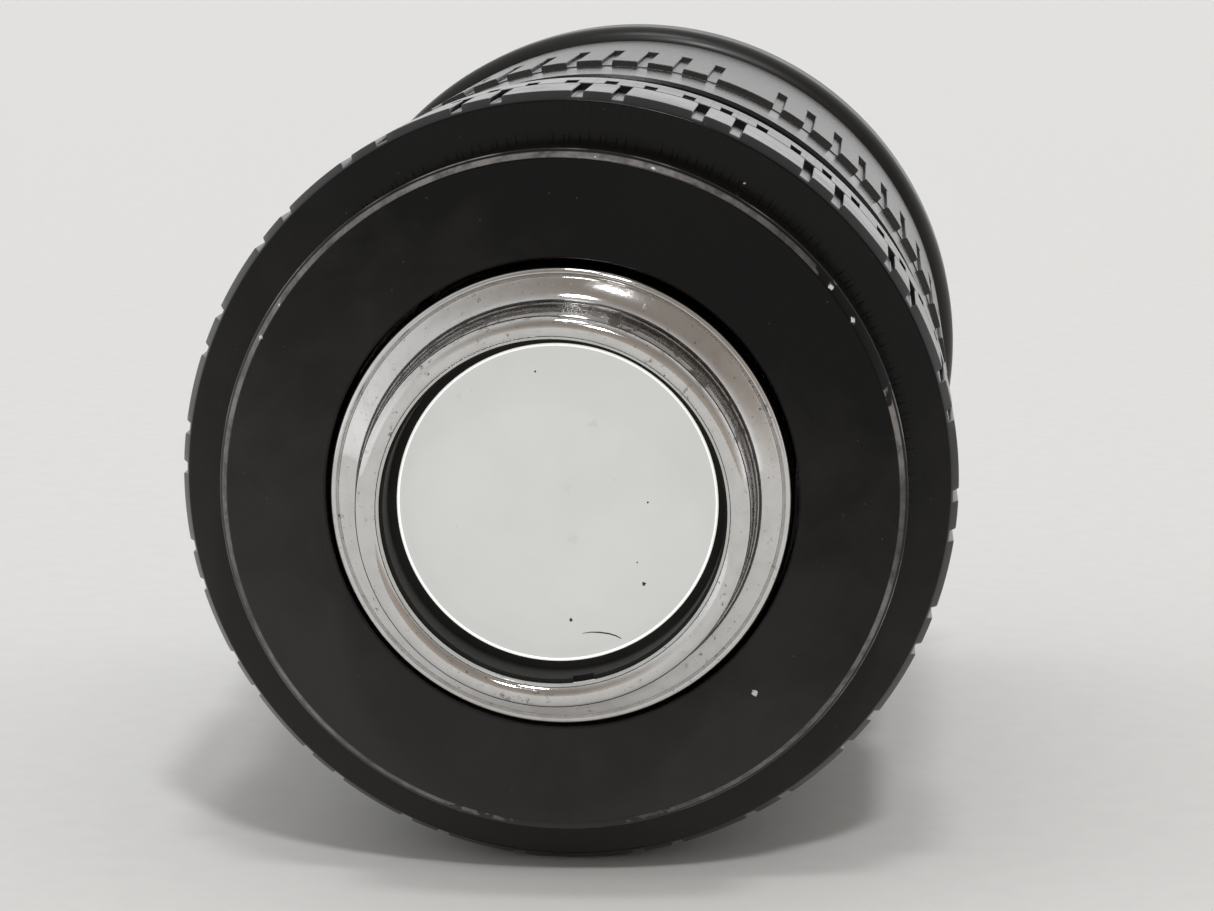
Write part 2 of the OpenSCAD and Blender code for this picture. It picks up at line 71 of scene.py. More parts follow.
FRONT_GLASS_START = corner("front_element", LOW)[1]
REAR_BORE = corner("rear_spacer", HIGH)[0]
REAR_GLASS_R = corner("rear_element", HIGH)[0]
REAR_GLASS_END = corner("rear_element", HIGH)[1]


# ---------------------------------------------------------------- materials

class Paint:
    """A node material, with short names for the nodes that the finishes are made of."""

    def __init__(self, name, metallic=0.0, specular=0.5, ior=1.5):
        self.material = bpy.data.materials.new(name)
        self.material.use_nodes = True
        self.tree = self.material.node_tree
        self.tree.nodes.clear()
        output = self.add("ShaderNodeOutputMaterial")
        self.shader = self.add("ShaderNodeBsdfPrincipled")
        self.tree.links.new(self.shader.outputs["BSDF"], output.inputs["Surface"])
        self.shader.inputs["Metallic"].default_value = metallic
        self.shader.inputs["Specular IOR Level"].default_value = specular
        self.shader.inputs["IOR"].default_value = ior
        self.place = self.add("ShaderNodeTexCoord").outputs["Object"]
        parts = self.add("ShaderNodeSeparateXYZ")
        self.tree.links.new(self.place, parts.inputs[0])
        self.x, self.y, self.z = parts.outputs
        self.normal = None

    def add(self, kind):
        return self.tree.nodes.new(kind)

    def feed(self, socket, value):
        if isinstance(value, bpy.types.NodeSocket):
            self.tree.links.new(value, socket)
        else:
            socket.default_value = value

    def maths(self, operation, a, b=0.0, clamp=False):
        node = self.add("ShaderNodeMath")
        node.operation = operation
        node.use_clamp = clamp
        self.feed(node.inputs[0], a)
        self.feed(node.inputs[1], b)
        return node.outputs[0]

    def radius(self):
        return self.maths("SQRT", self.maths("ADD", self.maths("MULTIPLY", self.x, self.x),
                                             self.maths("MULTIPLY", self.z, self.z)))

    def angle(self):
        return self.maths("ARCTAN2", self.z, self.x)

    def vector(self, x, y, z):
        node = self.add("ShaderNodeCombineXYZ")
        for socket, value in zip(node.inputs, (x, y, z)):
            self.feed(socket, value)
        return node.outputs[0]

    def noise(self, size_mm, detail=3.0, rough=0.5, place=None, warp=0.0):
        node = self.add("ShaderNodeTexNoise")
        self.feed(node.inputs["Vector"], self.place if place is None else place)
        node.inputs["Scale"].default_value = 1.0 / (size_mm * MM) if place is None else 1.0
        node.inputs["Detail"].default_value = detail
        node.inputs["Roughness"].default_value = rough
        node.inputs["Distortion"].default_value = warp
        return node.outputs[0]

    def cells(self, size_mm):
        node = self.add("ShaderNodeTexVoronoi")
        self.tree.links.new(self.place, node.inputs["Vector"])
        node.inputs["Scale"].default_value = 1.0 / (size_mm * MM)
        return node.outputs["Distance"]

    def turning(self, pitch_mm):
        """Fine lines left by turning, which run round the axis on faces and walls alike."""
        across = self.maths("ADD", self.y, self.maths("MULTIPLY", self.radius(), 0.8))
        scaled = self.maths("MULTIPLY", across, 1.0 / (pitch_mm * MM))
        return self.noise(1.0, 2.0, 0.7, self.vector(scaled, self.angle(), 0.0))

    def between(self, value, low, high, to_low=0.0, to_high=1.0):
        node = self.add("ShaderNodeMapRange")
        self.feed(node.inputs["Value"], value)
        node.inputs["From Min"].default_value = low
        node.inputs["From Max"].default_value = high
        node.inputs["To Min"].default_value = to_low
        node.inputs["To Max"].default_value = to_high
        return node.outputs[0]

    def blend(self, share, a, b):
        node = self.add("ShaderNodeMix")
        node.data_type = "RGBA"
        self.feed(node.inputs["Factor"], share)
        self.feed(node.inputs["A"], a)
        self.feed(node.inputs["B"], b)
        return node.outputs["Result"]

    def relief(self, height, depth_mm):
        """Adds relief of that depth to the surface."""
        node = self.add("ShaderNodeBump")
        node.inputs["Strength"].default_value = 1.0
        node.inputs["Distance"].default_value = depth_mm * MM
        self.feed(node.inputs["Height"], height)
        if self.normal is not None:
            self.tree.links.new(self.normal, node.inputs["Normal"])
        self.normal = node.outputs[0]

    def near(self, centre, size_mm, ragged=0.4, grain_mm=0.15):
        """A mask of 1 within a ragged spot at centre, in millimetres."""
        node = self.add("ShaderNodeVectorMath")
        node.operation = "DISTANCE"
        self.tree.links.new(self.place, node.inputs[0])
        node.inputs[1].default_value = [c * MM for c in centre]
        wobble = self.between(self.noise(grain_mm, 2.0), 0.3, 0.7, 1 - ragged, 1 + ragged)
        edge = self.maths("DIVIDE", node.outputs["Value"], wobble)
        return self.between(edge, size_mm * MM * 1.1, size_mm * MM * 0.9)

    def finish(self, colour, rough):
        self.feed(self.shader.inputs["Base Color"], colour)
        self.feed(self.shader.inputs["Roughness"], rough)
        if self.normal is not None:
            self.tree.links.new(self.normal, self.shader.inputs["Normal"])
        return self.material


def grey(value, warmth=0.0):
    return (value * (1 + warmth), value, value * (1 - warmth), 1.0)


def satin_black(name, level=0.004, rough=0.2, shine=0.5, haze=0.0, worn=None, kept=(), chips=()):
    """Black finish on turned metal: faint turning lines, smudges, dust, wear and small chips.
    haze is how much paler the lower side, and towards the left, is painted: a painted reflection of the
    pale floor. worn is a band of radii that shows bare edges, with a thin painted highlight along its
    outer edge, apart from the spots in kept."""
    p = Paint(name, specular=shine, ior=1.4)
    smudge = p.noise(9.0, 4.0, 0.6, warp=0.5)
    fine = p.noise(0.35, 3.0, 0.6)
    lines = p.turning(0.12)
    tone = p.blend(p.between(smudge, 0.35, 0.7), grey(level, 0.05), grey(level * 1.8, 0.07))
    tone = p.blend(p.between(fine, 0.62, 0.8), tone, grey(level * 2.5, 0.04))
    # Painted reflection: the lower side, and towards the left, is painted paler, standing in for the
    # floor's light reflected there
    if haze:
        low = p.maths("ADD", p.maths("MULTIPLY", p.z, -1.0), p.maths("MULTIPLY", p.x, -0.45))
        cloud = p.maths("ADD", low, p.between(smudge, 0.3, 0.7, -0.008, 0.008))
        tone = p.blend(p.between(cloud, -0.018, 0.022), tone, grey(haze, 0.06))
    if worn:
        inner, outer = worn
        band = p.maths("MULTIPLY", p.between(p.radius(), (inner + 0.03) * MM, (inner + 0.1) * MM),
                       p.between(p.radius(), (outer - 0.2) * MM, (outer - 0.28) * MM))
        # A thin pale line in patches along the band's outer edge, in the wear's tone: a painted
        # highlight
        painted_edge_highlight = p.maths("MULTIPLY", p.between(p.radius(), (outer - 0.1) * MM, (outer - 0.05) * MM),
                        p.between(p.y, 0.95 * MM, 0.8 * MM))
        painted_edge_highlight = p.maths("MULTIPLY", painted_edge_highlight, p.between(p.noise(6.0, 2.0), 0.45, 0.6))
        band = p.maths("ADD", band, painted_edge_highlight)
        rubbed = p.between(p.noise(1.3, 4.0, 0.7), 0.32, 0.62, 0.3, 1.0)
        rubbed = p.maths("MULTIPLY", rubbed, p.between(p.noise(12.0, 1.0), 0.35, 0.6, 0.5, 1.2))
        for centre, size in kept:
            spared = p.maths("SUBTRACT", 1.0, p.near(centre, size, 0.6, 1.2))
            rubbed = p.maths("MULTIPLY", rubbed, spared)
        tone = p.blend(p.maths("MULTIPLY", band, rubbed, clamp=True), tone, grey(0.19, 0.04))
    dust = p.between(p.cells(1.4), 0.05, 0.03)
    tone = p.blend(p.maths("MULTIPLY", dust, 0.5), tone, grey(0.11, 0.05))
    for centre, size in chips:
        tone = p.blend(p.near(centre, size), tone, grey(0.62, 0.02))
    p.relief(fine, 0.004)
    p.relief(lines, 0.0015)
    gloss = p.maths("ADD", p.between(smudge, 0.3, 0.7, rough - 0.03, rough + 0.06),
                    p.between(lines, 0.3, 0.7, -0.02, 0.02))
    return p.finish(tone, gloss)


def matt_black(name):
    p = Paint(name, specular=0.3)
    grain = p.noise(0.18, 3.0, 0.6)
    tone = p.blend(p.between(p.noise(6.0, 3.0), 0.35, 0.7), grey(0.007), grey(0.014, 0.05))
    p.relief(grain, 0.006)
    return p.finish(tone, p.between(grain, 0.3, 0.7, 0.58, 0.74))


def rubber(name):
    p = Paint(name, specular=0.6)
    grain = p.noise(0.12, 3.0, 0.65)
    smudge = p.noise(7.0, 4.0, 0.6, warp=0.4)
    tone = p.blend(p.between(smudge, 0.35, 0.7), grey(0.010, 0.03), grey(0.020, 0.06))
    tone = p.blend(p.between(p.cells(0.9), 0.07, 0.03, 0.0, 0.35), tone, grey(0.13, 0.06))
    p.relief(grain, 0.008)
    return p.finish(tone, p.between(grain, 0.3, 0.7, 0.22, 0.32))


def metal(name, colour, dark, rough):
    """Turned metal with turning lines and tarnish."""
    p = Paint(name, metallic=1.0)
    lines = p.turning(0.08)
    tarnish = p.noise(3.0, 4.0, 0.6, warp=0.6)
    tone = p.blend(p.between(tarnish, 0.45, 0.75, 0.0, 0.6), (*colour, 1.0), (*dark, 1.0))
    tone = p.blend(p.between(lines, 0.5, 0.75, 0.0, 0.35), tone, (*dark, 1.0))
    p.relief(lines, 0.002)
    gloss = p.maths("ADD", p.between(tarnish, 0.35, 0.7, rough - 0.04, rough + 0.12),
                    p.between(lines, 0.3, 0.7, -0.03, 0.03))
    return p.finish(tone, gloss)


def chrome(name, step_r):
    """Bright plating with pits, fine turning lines, dirt, and dark streaks at a step of that radius,
    painted on the upper side only: a painted dark reflection along with dirt.
    """
    p = Paint(name, metallic=1.0)
    haze = p.noise(2.2, 4.0, 0.6, warp=0.5)
    lines = p.turning(0.09)
    pits = p.noise(0.28, 2.0, 0.6)
    tone = p.blend(p.between(haze, 0.4, 0.75), grey(0.67, 0.01), grey(0.58, 0.02))
    tone = p.blend(p.between(pits, 0.69, 0.74, 0.0, 0.9), tone, grey(0.05, 0.12))
    grime_and_dark_reflection = p.maths("MULTIPLY", p.between(p.noise(0.7, 3.0, 0.7), 0.6, 0.72),
                    p.between(p.noise(3.5, 2.0), 0.5, 0.6))
    step = p.maths("ABSOLUTE", p.maths("SUBTRACT", p.radius(), step_r * MM))
    streaks = p.vector(p.maths("MULTIPLY", p.radius(), 4500.0), p.maths("MULTIPLY", p.angle(), 9.0), 0.0)
    # Dark streaks round the step, kept to the upper side: a painted dark reflection, mixed with dirt
    step_dirt_and_dark_reflection = p.maths("MULTIPLY", p.between(step, 0.5 * MM, 0.1 * MM),
                       p.between(p.noise(1.0, 4.0, 0.65, streaks), 0.53, 0.58))
    step_dirt_and_dark_reflection = p.maths("MULTIPLY", step_dirt_and_dark_reflection, p.between(p.z, -2 * MM, 6 * MM))
    grime_and_dark_reflection = p.maths("MAXIMUM", grime_and_dark_reflection, step_dirt_and_dark_reflection)
    tone = p.blend(p.maths("MULTIPLY", grime_and_dark_reflection, 0.85), tone, grey(0.07, 0.2))
    p.relief(haze, 0.012)
    p.relief(lines, 0.0012)
    p.relief(pits, 0.002)
    gloss = p.maths("ADD", p.between(haze, 0.35, 0.75, 0.05, 0.12), p.between(grime_and_dark_reflection, 0.0, 1.0, 0.0, 0.3))
    return p.finish(tone, gloss)


def painted_glow_glass(name, smudges=(), specks=()):
    """The rear glass, which light from the front fills with an even glow, painted as its own emission,
    with marks on it.
    """
    p = Paint(name, specular=0.25, ior=1.52)
    cloud = p.noise(6.0, 3.0, 0.55, warp=0.3)
    tone = p.blend(p.between(cloud, 0.35, 0.7), (0.100, 0.102, 0.097, 1.0), (0.080, 0.082, 0.077, 1.0))
    glow = p.blend(p.between(cloud, 0.3, 0.7), (0.99, 1.0, 0.965, 1.0), (0.955, 0.97, 0.93, 1.0))
    marks = [(p.between(p.cells(2.3), 0.035, 0.02, 0.0, 0.5), 0.6)]
    for centre, size, strength in smudges:
        marks.append((p.maths("MULTIPLY", p.near(centre, size, 0.8, 0.5), strength), 0.6))
    for centre, size in specks:
        marks.append((p.near(centre, size), 0.02))
    for mask, level in marks:
        glow = p.blend(mask, glow, grey(level, 0.03))
        tone = p.blend(mask, tone, grey(level * 0.1, 0.03))
    # Painted glow: the glass gives off light of its own, standing in for light that passes through the
    # lens from the front
    p.feed(p.shader.inputs["Emission Color"], glow)
    p.shader.inputs["Coat Weight"].default_value = 0.3
    p.shader.inputs["Coat Roughness"].default_value = 0.04
    p.shader.inputs["Emission Strength"].default_value = 0.57
    return p.finish(tone, p.between(cloud, 0.3, 0.7, 0.3, 0.42))


def painted_glint_ring(name):
    """A thin ring at the rear glass's edge that glows: a painted glint."""
    p = Paint(name, ior=1.52)
    grain = p.noise(0.3, 3.0)
    tone = p.blend(p.between(grain, 0.35, 0.7), (0.95, 0.95, 0.94, 1.0), (0.86, 0.87, 0.85, 1.0))
    # Painted glint: the ring gives off light of its own
    p.shader.inputs["Emission Color"].default_value = (1.0, 1.0, 0.98, 1.0)
    p.shader.inputs["Emission Strength"].default_value = 0.6
    p.relief(grain, 0.004)
    return p.finish(tone, p.between(grain, 0.3, 0.7, 0.3, 0.4))


def dark_thread(name):
    p = Paint(name)
    grain = p.noise(0.08, 2.0)
    tone = p.blend(p.between(grain, 0.35, 0.7), grey(0.012, 0.1), grey(0.03, 0.1))
    return p.finish(tone, p.between(grain, 0.3, 0.7, 0.5, 0.7))


def coated_glass(name, film):
    p = Paint(name, ior=1.62)
    p.shader.inputs["Transmission Weight"].default_value = 1.0
    p.shader.inputs["Thin Film Thickness"].default_value = film
    p.shader.inputs["Thin Film IOR"].default_value = 1.38
    smear = p.noise(5.0, 4.0, 0.6, warp=0.6)
    tone = p.blend(p.between(smear, 0.4, 0.7), (0.985, 0.985, 0.97, 1.0), (0.96, 0.965, 0.95, 1.0))
    dust = p.between(p.cells(1.9), 0.03, 0.015, 0.0, 0.6)
    tone = p.blend(dust, tone, grey(0.6))
    return p.finish(tone, p.between(smear, 0.5, 0.8, 0.0, 0.05))


def enamel(name, colour):
    """Filled numerals and lines."""
    p = Paint(name)
    grain = p.noise(0.1, 2.0)
    dim = [c * 0.75 for c in colour]
    tone = p.blend(p.between(grain, 0.4, 0.75), (*colour, 1.0), (*dim, 1.0))
    p.relief(grain, 0.004)
    return p.finish(tone, p.between(grain, 0.3, 0.7, 0.45, 0.6))


FINISH = {
    "black_satin_metal": satin_black("satin_black_turned"),
    "matt_black_metal": matt_black("matt_black_paint"),
    "dark_aluminium": metal("dark_anodised_aluminium", (0.06, 0.06, 0.062), (0.03, 0.03, 0.03), 0.38),
    "dark_steel": metal("blackened_steel", (0.10, 0.10, 0.105), (0.04, 0.04, 0.04), 0.35),
    "bright_steel": metal("bright_steel_turned", (0.62, 0.61, 0.60), (0.34, 0.33, 0.32), 0.22),
    "blade_steel": metal("blued_blade_steel", (0.13, 0.135, 0.15), (0.06, 0.06, 0.065), 0.36),
    "bare_aluminium": metal("turned_aluminium", (0.70, 0.70, 0.70), (0.50, 0.50, 0.50), 0.3),
    "brass": metal("turned_brass", (0.72, 0.52, 0.24), (0.42, 0.27, 0.10), 0.26),
    "chrome": chrome("chrome_plating", REAR_BORE + 1.1),
    "black_rubber": rubber("black_rubber_moulded"),
    "coated_glass": coated_glass("coated_glass_clear", 120.0),
    "rear_glass": painted_glow_glass("rear_glass_painted_glow"),
}

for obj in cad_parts.values():
    for entry in obj.material_slots:
        entry.material = FINISH[entry.material.name.split(".")[0]]
for node in ("key_screws", "focus_stop_screw"):
    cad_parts[node].material_slots[0].material = FINISH["dark_steel"]


# ---------------------------------------------------------------- turned pieces

def softened(section):
    """The section with its corners rounded. Each corner is (radius, distance along the axis, cut)
    with an optional share of each knurl pattern; a corner with cut 0 stays sharp."""
    rows = []
    count = len(section)
    for i, here in enumerate(section):
        cut = here[2]
        share = here[3:] if len(here) > 3 else (0.0, 0.0)
        point = np.array(here[:2], float)
        if cut <= 0:
            rows.append((*point, *share))
            continue
        before = np.array(section[i - 1][:2], float) - point
        after = np.array(section[(i + 1) % count][:2], float) - point
        reach_in = min(cut, 0.45 * np.linalg.norm(before))
        reach_out = min(cut, 0.45 * np.linalg.norm(after))
        start = point + before / np.linalg.norm(before) * reach_in
        stop = point + after / np.linalg.norm(after) * reach_out
        for t in (0.0, 0.25, 0.5, 0.75, 1.0):
            rows.append((*((1 - t) ** 2 * start + 2 * t * (1 - t) * point + t * t * stop), *share))
    return rows


def piece_from(name, vertices, faces, finish, body, nodes, sharp):
    """A mesh piece on a body, in place of those CAD nodes. Edges over sharp degrees stay crisp."""
    mesh = bpy.data.meshes.new(name)
    mesh.from_pydata(vertices, [], faces)
    mesh.validate()
    for polygon in mesh.polygons:
        polygon.use_smooth = True
    mesh.set_sharp_from_angle(angle=math.radians(sharp))
    mesh.materials.append(finish)
    piece = bpy.data.objects.new(name, mesh)
    bpy.context.scene.collection.objects.link(piece)
    weighted = piece.modifiers.new("even_normals", "WEIGHTED_NORMAL")
    weighted.keep_sharp = True
    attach(piece, body)
    if nodes:
        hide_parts(*nodes)
    return piece


def turned(name, section, finish, body, nodes, angles=None, sink=None, sharp=32.0):
    """A piece turned about the lens axis. sink(row, angle) gives a row's radius at an angle."""
    rows = softened(section)
    if angles is None:
        steps = 288
        angles = [2 * math.pi * i / steps for i in range(steps)]
    vertices = []
    first = []
    for row in rows:
        first.append(len(vertices))
        if row[0] < 1e-6:
            vertices.append((0.0, row[1] * MM, 0.0))
            continue
        for a in angles:
            r = (sink(row, a) if sink else row[0]) * MM
            vertices.append((r * math.cos(a), row[1] * MM, r * math.sin(a)))
    faces = []
    count = len(angles)
    on_axis = [row[0] < 1e-6 for row in rows]
    for i in range(len(rows)):
        j = (i + 1) % len(rows)
        if on_axis[i] and on_axis[j]:
            continue
        for k in range(count):
            n = (k + 1) % count
            if on_axis[i]:
                faces.append((first[i], first[j] + n, first[j] + k))
            elif on_axis[j]:
                faces.append((first[i] + k, first[i] + n, first[j]))
            else:
                faces.append((first[i] + k, first[i] + n, first[j] + n, first[j] + k))
    return piece_from(name, vertices, faces, finish, body, nodes, sharp)


class Knurl:
    """Notches along the axis, cut to a floor radius, with worn edges."""

    def __init__(self, centres, width, floor_r, at_r):
        self.floor_r = floor_r
        half = width / 2
        self.reach = [math.degrees((half + d) / at_r) for d in (0.08, 0.0, -0.04, -0.10)]
        self.depth = [0.0, 0.14, 0.9, 1.0]
        self.centres = [c % 360 for c in centres]

    def stations(self):
        """The angles at which a notch's sides bend."""
        return [c + side * reach for c in self.centres for side in (-1, 1) for reach in self.reach]

    def share(self, degrees):
        """How much of the notches' depth is cut at an angle."""
        nearest = min(abs((degrees - c + 180) % 360 - 180) for c in self.centres)
        return float(np.interp(nearest, self.reach[::-1], self.depth[::-1]))


KNURL_GAP = 1.25


def knurl_angles(knurls):
    """Every notch's edges, in degrees, with steps of at most KNURL_GAP between them."""
    marks = sorted({round(a % 360, 5) for k in knurls for a in k.stations()})
    angles = []
    for here, after in zip(marks, marks[1:] + [marks[0] + 360]):
        angles.append(here)
        parts = int((after - here) / KNURL_GAP)
        angles += [here + (after - here) * i / (parts + 1) for i in range(1, parts + 1)]
    return angles


def knurled(name, section, knurls, finish, body, nodes):
    """A turned piece with notches. Its corners hold their share of each knurl after the cut."""
    degrees = knurl_angles(knurls)
    share = {round(math.radians(d), 9): [k.share(d) for k in knurls] for d in degrees}

    def sink(row, angle):
        r = row[0]
        for knurl, strength, here in zip(knurls, row[2:], share[round(angle, 9)]):
            r -= max(0.0, row[0] - knurl.floor_r) * strength * here
        return r

    return turned(name, section, finish, body, nodes, [math.radians(d) for d in degrees], sink)


# Notches of the aperture ring and the grip, in degrees and millimetres
NOTCH_PITCH = 6
PLACES = range(360 // NOTCH_PITCH)
NOTCH_WIDTH = 0.95
NOTCH_DEPTH = 0.45
PAD_GAP = 1.0
PAD_DEPTH = 0.35

# Rear plate, seen round the chrome collar
PLATE_HOLE_R = BOSS_R - 8.2
PLATE_FRONT = 3.2
FACE_R = BOSS_R - 0.7
plate_chips = [
    ((-22.6, 0.3, 11.7), 0.24), ((-22.75, 0.3, 11.25), 0.16), ((20.1, 0.3, 15.9), 0.22),
    ((21.7, 0.3, 13.4), 0.24), ((14.7, 0.0, -15.0), 0.22), ((-21.2, 0.2, 14.2), 0.1),
    ((2.6, 0.2, 25.6), 0.12), ((6.9, 0.2, 24.7), 0.15),
]
plate_unworn = [((22.6, 0.4, 12.6), 5.0), ((0.0, 0.4, -25.8), 6.5)]
turned("rear_plate_shell", [
    (PLATE_HOLE_R + 0.15, 0.0, 0.05), (FACE_R, 0.0, 0.08), (BOSS_R, 0.75, 0.12),
    (BOSS_R, RING_START - 0.05, 0.0), (BOSS_R - 1.05, RING_START - 0.05, 0.0),
    (BOSS_R - 1.05, PLATE_END, 0.1), (BOSS_R - 2.9, PLATE_END, 0.1), (BOSS_R - 2.9, PLATE_FRONT, 0.0),
    (PLATE_HOLE_R, PLATE_FRONT, 0.05), (PLATE_HOLE_R, 0.15, 0.05),
# haze paints the plate's lower side paler: a painted reflection of the floor
], satin_black("satin_black_plate", level=0.0015, rough=0.2, shine=0.25, haze=0.031,
               worn=(FACE_R, BOSS_R), kept=plate_unworn, chips=plate_chips), "barrel",
    ["rear_plate"])

# Chrome collar with its rounded bead
BEAD_R = 0.88
BEAD_CENTRE = (REAR_BORE + 0.07, COLLAR_CREST + BEAD_R)
BEAD_FRONT = BEAD_CENTRE[1] + 0.72
THROAT_R = REAR_BORE - 0.81
COLLAR_BORE = REAR_BORE + 1.85
COLLAR_SEAT = -0.6
bead = [(BEAD_CENTRE[0] + BEAD_R * math.cos(math.radians(a)),
         BEAD_CENTRE[1] + BEAD_R * math.sin(math.radians(a)), 0.0)
        for a in np.linspace(180, 350, 21)]
turned("chrome_collar", [
    *bead,
    (REAR_BORE + 0.99, -5.7, 0.2), (REAR_BORE + 1.01, -4.2, 0.5), (REAR_BORE + 1.15, -3.0, 0.55),
    (REAR_BORE + 1.55, -2.2, 0.4), (REAR_BORE + 2.25, -1.65, 0.4), (COLLAR_R - 0.90, -1.15, 0.1),
    (COLLAR_R - 0.83, -0.98, 0.05), (COLLAR_R - 0.76, -1.10, 0.05), (COLLAR_R - 0.55, -1.17, 0.15),
    (COLLAR_R - 0.27, -1.00, 0.2), (COLLAR_R - 0.17, -0.4, 0.3), (COLLAR_R, 0.1, 0.3),
    (COLLAR_R, COLLAR_END, 0.1),
    (COLLAR_BORE, COLLAR_END, 0.0), (COLLAR_BORE, COLLAR_SEAT, 0.0), (REAR_BORE, COLLAR_SEAT, 0.0),
    (REAR_BORE, BEAD_FRONT, 0.0), (THROAT_R, BEAD_FRONT, 0.05),
], FINISH["chrome"], "optics", ["rear_collar"], sharp=40.0)

# Rear glass: a shallow dome with marks on it and a painted glow, a glowing ring at its edge as a painted
# glint, its black bevel and a hair
DOME_SAG = 0.9
GLASS_EDGE = corner("rear_element", LOW)[1] + DOME_SAG
DOME_R = REAR_GLASS_R - 1.65
ball_r = (DOME_R ** 2 + DOME_SAG ** 2) / (2 * DOME_SAG)


def dome_y(r):
    """Where the rear glass's surface lies at a radius."""
    return GLASS_EDGE - (math.sqrt(ball_r ** 2 - r ** 2) - (ball_r - DOME_SAG))


def on_glass(x, z):
    """The point of the rear glass's surface at x and z."""
    return (x, dome_y(math.hypot(x, z)), z)


smudges = [(on_glass(2.75, 5.94), 0.34, 0.22), (on_glass(1.3, -2.46), 0.36, 0.16),
           (on_glass(0.76, 1.46), 0.4, 0.08), (on_glass(-7.3, 8.0), 0.25, 0.12)]
specks = [(on_glass(6.5, -5.96), 0.14), (on_glass(1.05, -8.81), 0.13), (on_glass(6.79, 0.23), 0.07),
          (on_glass(6.0, -4.32), 0.06), (on_glass(-1.6, 9.9), 0.07)]
dome = [(r, dome_y(r), 0.0) for r in np.linspace(0.0, DOME_R, 40)]
turned("rear_glass_dome", [
    *dome, (REAR_GLASS_R, GLASS_EDGE, 0.05), (REAR_GLASS_R, REAR_GLASS_END, 0.05),
    (0.0, REAR_GLASS_END, 0.0),
], painted_glow_glass("rear_glass_marked_painted_glow", smudges, specks), "optics", ["rear_element"])
EDGE_R = DOME_R - 0.04
EDGE_THICK_R = 0.1
turned("rear_glass_glint_ring", [
    (EDGE_R + EDGE_THICK_R * math.cos(t), GLASS_EDGE - 0.06 + EDGE_THICK_R * math.sin(t), 0.0)
    for t in np.linspace(0, 2 * math.pi, 12, endpoint=False)
], painted_glint_ring("glass_rim_painted_glint"), "optics", [], sharp=80.0)
BEVEL_INNER = DOME_R + 0.06
BEVEL_OUTER = REAR_GLASS_R - 0.05
turned("rear_glass_black_bevel", [
    (BEVEL_INNER, GLASS_EDGE - 0.12, 0.04), (BEVEL_OUTER, GLASS_EDGE - 0.03, 0.0),
    (BEVEL_OUTER, GLASS_EDGE + 0.2, 0.0), (BEVEL_INNER, GLASS_EDGE + 0.2, 0.0),
], FINISH["matt_black_metal"], "optics", [])

hair = [(1.9, -9.83), (2.5, -9.73), (3.2, -9.74), (3.9, -9.84), (4.4, -10.0), (4.8, -10.23)]
curve = bpy.data.curves.new("hair_on_glass", "CURVE")
curve.dimensions = "3D"
curve.bevel_depth = 0.055 * MM
curve.bevel_resolution = 2
spline = curve.splines.new("POLY")
spline.points.add(len(hair) - 1)
for point, (x, z), width in zip(spline.points, hair, (0.3, 0.7, 1.0, 1.0, 0.9, 0.5)):
    point.co = (x * MM, (dome_y(math.hypot(x, z)) - 0.03) * MM, z * MM, 1.0)
    point.radius = width
curve.materials.append(dark_thread("dark_fibre"))
hair_piece = bpy.data.objects.new("hair_on_glass", curve)
bpy.context.scene.collection.objects.link(hair_piece)
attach(hair_piece, "optics")

# Aperture ring: notched blocks, with each third notch left out, a row of pads and a plain band
ring_knurls = [
    Knurl([4.6 + i * NOTCH_PITCH for i in PLACES if i % 3], NOTCH_WIDTH, RING_R - NOTCH_DEPTH, RING_R),
    Knurl([1.3 + i * NOTCH_PITCH for i in PLACES], PAD_GAP, RING_R - PAD_DEPTH, RING_R),
]
RING_BORE = BOSS_R - 0.25
CHAMFER_END = RING_START + 1.25
RING_NOTCH_END = 15.74
BLOCKS_END = 16.10
PADS_START = 16.50
PADS_END = 20.30
PLAIN_START = 20.70
knurled("aperture_ring_shell", [
    (RING_BORE, RING_START, 0.08, 0.0, 0.0), (RING_R - 0.65, RING_START, 0.12, 0.0, 0.0),
    (RING_R - NOTCH_DEPTH, RING_START + 0.385, 0.0, 1.0, 0.0), (RING_R, CHAMFER_END, 0.12, 1.0, 0.0),
    (RING_R, RING_NOTCH_END, 0.0, 1.0, 0.0), (RING_R, RING_NOTCH_END + 0.05, 0.0, 0.9, 0.0),
    (RING_R, RING_NOTCH_END + 0.09, 0.0, 0.12, 0.0), (RING_R, RING_NOTCH_END + 0.16, 0.0, 0.0, 0.0),
    (RING_R, BLOCKS_END, 0.07, 0.0, 0.0), (RING_R - 0.30, BLOCKS_END, 0.05, 0.0, 0.0),
    (RING_R - 0.30, PADS_START, 0.05, 0.0, 1.0), (RING_R, PADS_START, 0.07, 0.0, 1.0),
    (RING_R, PADS_END, 0.07, 0.0, 1.0), (RING_R - 0.25, PADS_END, 0.05, 0.0, 1.0),
    (RING_R - 0.25, PLAIN_START, 0.05, 0.0, 0.0), (RING_R - 0.05, PLAIN_START, 0.06, 0.0, 0.0),
    (RING_R - 0.05, RING_END - 0.40, 0.10, 0.0, 0.0), (RING_R - 0.45, RING_END, 0.10, 0.0, 0.0),
    (RING_BORE, RING_END, 0.08, 0.0, 0.0),
# haze paints the ring's lower side paler: a painted reflection of the floor
], ring_knurls, satin_black("satin_black_ring", level=0.002, rough=0.17, shine=0.3, haze=0.024,
                            chips=[((13.5, 5.4, 23.1), 0.1)]), "aperture",
    ["aperture_ring"])

